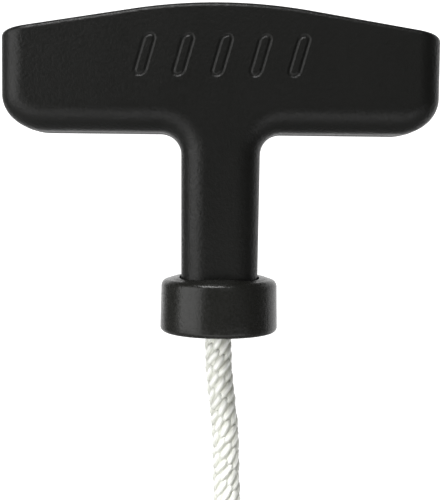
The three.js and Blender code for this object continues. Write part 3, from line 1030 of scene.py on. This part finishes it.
class HANDLE_PG_moulding(bpy.types.PropertyGroup):
    """Fine sizes of the grip and the collar"""
    top_roll: length_property("Top Roll", "Rounding of the edge round the crowned top", 0.0013)
    parting_height: length_property("Parting Line Height", "How far the parting line stands out", 0.00008)
    parting_width: length_property("Parting Line Width", "Half the width of the parting line", 0.0003)
    bar_count: bpy.props.IntProperty(name="Bar Count", description="Bars engraved in the front", default=5)
    bar_pitch: length_property("Bar Pitch", "From one engraved bar to the next", 0.009)
    bar_width: length_property("Bar Width", "Width of one engraved bar", 0.0036)
    bar_height: length_property("Bar Height", "Height of one engraved bar", 0.0104)
    bar_middle: length_property("Bar Middle", "Height of the bars' middle above the stop face", 0.066)
    bar_slant: angle_property("Bar Slant", "Lean of the bars", 16)
    groove_width: length_property("Groove Width", "Width of the engraved line", 0.0011)
    groove_depth: length_property("Groove Depth", "Depth of the engraved line", 0.0003)
    socket_lip: length_property("Socket Lip", "Rounding of the collar's edge round the neck", 0.0004)


class HANDLE_PG_rope(bpy.types.PropertyGroup):
    """The rope's braid and the strap round its hank"""
    columns: bpy.props.IntProperty(name="Columns", description="Columns of stitches round it", default=12)
    pitch: length_property("Pitch", "From one stitch to the next in a column", 0.0055)
    step: length_property("Step", "How much lower each next column's stitches are", 0.001375)
    stitch_length: length_property("Stitch Length", "Length of one stitch", 0.0058)
    stitch_width: length_property("Stitch Width", "Width of one stitch", 0.00215)
    stitch_proud: length_property("Stitch Proud", "How far a stitch stands out of the rope's radius", 0.0003)
    core_radius: length_property("Core Radius", "Radius of the core under the stitches", 0.00282)
    strap_thickness: length_property("Strap Thickness", "Thickness of the strap", 0.0005)
    strap_step: length_property("Strap Step", "How much further out each lap of the strap lies", 0.00064)


class HANDLE_PG_colours(bpy.types.PropertyGroup):
    """Colours of the finishes"""
    grip: colour_property("Grip", "Matt black plastic", (0.0028, 0.0029, 0.0023))
    collar: colour_property("Collar", "Glossier black plastic", (0.0085, 0.0086, 0.0074))
    rope: colour_property("Rope", "White nylon", (0.72, 0.73, 0.67))
    washer: colour_property("Washer", "Zinc-plated steel", (0.62, 0.63, 0.64))
    strap: colour_property("Strap", "Black woven strap", (0.018, 0.018, 0.019))
    paper: colour_property("Studio Paper", "Floor and walls round the object", (0.45, 0.45, 0.45))


class HANDLE_PG_studio(bpy.types.PropertyGroup):
    """Camera and lights"""
    eye: place_property("Eye", "Where the camera stands", (-0.003, -0.2184, 0.0331))
    aim: place_property("Aim", "Where the camera looks", (0.0004, 0.0, 0.02))
    lens: bpy.props.FloatProperty(name="Lens", description="Focal length in millimetres", default=63.9)
    roll: angle_property("Roll", "Turn of the camera about its line of sight", 0.6)
    behind: bpy.props.FloatProperty(name="Glow Behind", description="Glow behind the object", default=1.05)
    in_front: bpy.props.FloatProperty(name="Glow In Front", description="Glow in front of it", default=0.02)


class HANDLE_PG_settings(bpy.types.PropertyGroup):
    """All settings of the pull handle"""
    moulding: bpy.props.PointerProperty(type=HANDLE_PG_moulding, name="Moulding", description="Fine sizes")
    rope: bpy.props.PointerProperty(type=HANDLE_PG_rope, name="Rope", description="Braid and strap")
    colours: bpy.props.PointerProperty(type=HANDLE_PG_colours, name="Colours", description="Finishes")
    studio: bpy.props.PointerProperty(type=HANDLE_PG_studio, name="Studio", description="Camera and lights")


# --- Operators ---

class HANDLE_OT_stage(bpy.types.Operator):
    """Make the camera, the pale floor with its walls, and the soft lights"""
    bl_idname = "pull_handle.stage"
    bl_label = "Stage"

    def execute(self, context):
        studio = context.scene.pull_handle.studio
        data = bpy.data.cameras.new("camera")
        data.sensor_width, data.lens = 36, studio.lens
        data.clip_start, data.clip_end = 0.01, 20
        camera = add_object("camera", data)
        sight = (Vector(studio.aim) - Vector(studio.eye)).to_track_quat("-Z", "Y").to_matrix().to_4x4()
        camera.matrix_world = Matrix.Translation(studio.eye) @ sight @ Matrix.Rotation(studio.roll, 4, "Z")
        context.scene.camera = camera
        context.scene.view_settings.view_transform = "Standard"
        self.paper(context)
        self.lights()
        return {"FINISHED"}

    def paper(self, context):
        """The floor, swept up into a wall all round."""
        settings = context.scene.pull_handle
        floor, reach, cove, height = -0.26, 2.2, 0.7, 1.7
        profile = [(0.0005, floor), (0.4, floor), (1.0, floor)]
        profile += arc((reach - cove, floor + cove), cove, -90, 0, 10) + [(reach, floor + height)]
        paper = turned("studio_paper", profile, closed=False)
        smooth(paper)
        paper.data.materials.append(studio_paper(
            settings.colours.paper, settings.studio.behind, settings.studio.in_front))
        world = bpy.data.worlds.new("studio")
        world.use_nodes = True
        sky = world.node_tree.nodes["Background"]
        sky.inputs["Color"].default_value = (1, 1, 1, 1)
        sky.inputs["Strength"].default_value = SKY_GLOW
        context.scene.world = world

    def lights(self):
        """Soft panels: one on the left, one above, and weaker ones beside the camera and below it."""
        for name, spot, target, size, power in (
            ("left_panel", (-0.61, -0.35, 0.14), (0, 0, 0.02), (0.66, 0.7), 5.4),
            ("top_panel", (-0.12, -0.3, 0.66), (0, 0, 0.02), (0.42, 0.13), 5.4),
            ("front_panel", (0.2, -0.8, 0.3), (0, 0, 0), (0.5, 0.5), 0.5),
            ("low_panel", (0, -0.24, -0.24), (0, 0, 0.04), (0.9, 0.34), 2.0),
        ):
            data = bpy.data.lights.new(name, "AREA")
            data.shape, data.size, data.size_y, data.energy = "RECTANGLE", size[0], size[1], power
            light = add_object(name, data)
            light.location = spot
            light.rotation_euler = (Vector(target) - Vector(spot)).to_track_quat("-Z", "Y").to_euler()


class HANDLE_OT_rope(bpy.types.Operator):
    """Make the braided rope that hangs from the collar and is folded into its hank"""
    bl_idname = "pull_handle.rope"
    bl_label = "Rope"

    def execute(self, context):
        nylon = braided_nylon(context.scene.pull_handle.colours.rope)
        line = rope_line()
        rope = ended_rope("pull_rope", line, ROPE_END_RADIUS, nylon)
        place(rope, nylon, "starter_rope", "rope_nylon", "rope", "rope_hank")
        rope["line"] = [float(value) for spot in line for value in spot]
        inside = smooth_line([(0, 0, z) for z in (INNER_LOW.z, 0.04, INNER_HIGH.z)], 3 * MM)
        inner = braided("inner_rope", inside, nylon)
        place(inner, nylon, "starter_rope", "rope_nylon", "rope_inner")
        return {"FINISHED"}


class HANDLE_OT_knot(bpy.types.Operator):
    """Make the stopper knot that sits in the grip's pocket"""
    bl_idname = "pull_handle.knot"
    bl_label = "Knot"

    def execute(self, context):
        nylon = bpy.data.materials[BRAID]
        knot = ended_rope("stopper_knot", knot_line(), KNOT_END_RADIUS, nylon, KNOT_SCALE)
        place(knot, nylon, "starter_rope", "rope_nylon", "rope_knot")
        return {"FINISHED"}


class HANDLE_OT_strap(bpy.types.Operator):
    bl_idname = "pull_handle.strap"
    bl_label = "Strap"

    def execute(self, context):
        settings = context.scene.pull_handle
        strap = make_strap(settings.rope)
        place(strap, woven_strap(settings.colours.strap), "starter_rope", "tie_strap", "hank_tie")
        rope = bpy.data.objects["pull_rope"]
        line = np.array(rope["line"]).reshape(-1, 3)
        round(line_length(line), 3)
        return {"FINISHED"}


class HANDLE_OT_grip(bpy.types.Operator):
    """Make the T-shaped grip with its knot pocket and engraved bars"""
    bl_idname = "pull_handle.grip"
    bl_label = "Grip"

    def execute(self, context):
        settings = context.scene.pull_handle
        sizes = settings.moulding
        plastic = moulded_plastic("grip_black", settings.colours.grip, roughness=0.41, specular=0.24,
                                  grain=0.000045)
        grip = make_grip_body(sizes)
        cut(grip, make_pocket_cutter())
        bars = row_pattern().run("bars", Shape=make_groove(sizes), Count=sizes.bar_count,
                                 Pitch=sizes.bar_pitch, Material=plastic)
        bars.data.transform(Matrix.Translation((0, 0, sizes.bar_middle)))
        cut(grip, bars)
        smooth(grip, 35)
        even = grip.modifiers.new("even_normals", "WEIGHTED_NORMAL")
        even.keep_sharp = True
        place(grip, plastic, "handle", "grip_plastic", "grip")
        return {"FINISHED"}


class HANDLE_OT_collar(bpy.types.Operator):
    """Make the stop collar on the neck's foot"""
    bl_idname = "pull_handle.collar"
    bl_label = "Collar"

    def execute(self, context):
        settings = context.scene.pull_handle
        collar = make_collar(settings.moulding)
        plastic = moulded_plastic("collar_black", settings.colours.collar, roughness=0.26, specular=0.26,
                                  grain=0.000022)
        place(collar, plastic, "handle", "collar_plastic", "stop_collar")
        return {"FINISHED"}


class HANDLE_OT_washer(bpy.types.Operator):
    """Make the steel washer that the knot pulls against"""
    bl_idname = "pull_handle.washer"
    bl_label = "Washer"

    def execute(self, context):
        washer = make_washer()
        place(washer, zinc_plate(context.scene.pull_handle.colours.washer), "washer", "zinc_steel",
              "knot_washer")
        return {"FINISHED"}


class HANDLE_PT_panel(bpy.types.Panel):
    """Lists the pieces in the order that they are made"""
    bl_idname = "HANDLE_PT_panel"
    bl_label = "Pull Handle"
    bl_space_type = "VIEW_3D"
    bl_region_type = "UI"
    bl_category = "Pull Handle"

    def draw(self, context):
        settings = context.scene.pull_handle
        for group in ("moulding", "rope", "colours", "studio"):
            box = self.layout.box()
            box.label(text=group.title())
            for name in getattr(settings, group).bl_rna.properties.keys():
                if name not in ("rna_type", "name"):
                    box.prop(getattr(settings, group), name)
        for operator in OPERATORS:
            self.layout.operator(operator.bl_idname)


OPERATORS = (HANDLE_OT_stage, HANDLE_OT_rope, HANDLE_OT_strap, HANDLE_OT_knot, HANDLE_OT_washer,
             HANDLE_OT_grip, HANDLE_OT_collar)
CLASSES = (HANDLE_PG_moulding, HANDLE_PG_rope, HANDLE_PG_colours, HANDLE_PG_studio, HANDLE_PG_settings,
           *OPERATORS, HANDLE_PT_panel)


def register():
    for cls in CLASSES:
        bpy.utils.register_class(cls)
    bpy.types.Scene.pull_handle = bpy.props.PointerProperty(type=HANDLE_PG_settings)


def unregister():
    del bpy.types.Scene.pull_handle
    for cls in reversed(CLASSES):
        bpy.utils.unregister_class(cls)


def main():
    register()
    for operator in OPERATORS:
        group, name = operator.bl_idname.split(".")
        getattr(getattr(bpy.ops, group), name)()


if __name__ == "__main__":
    main()
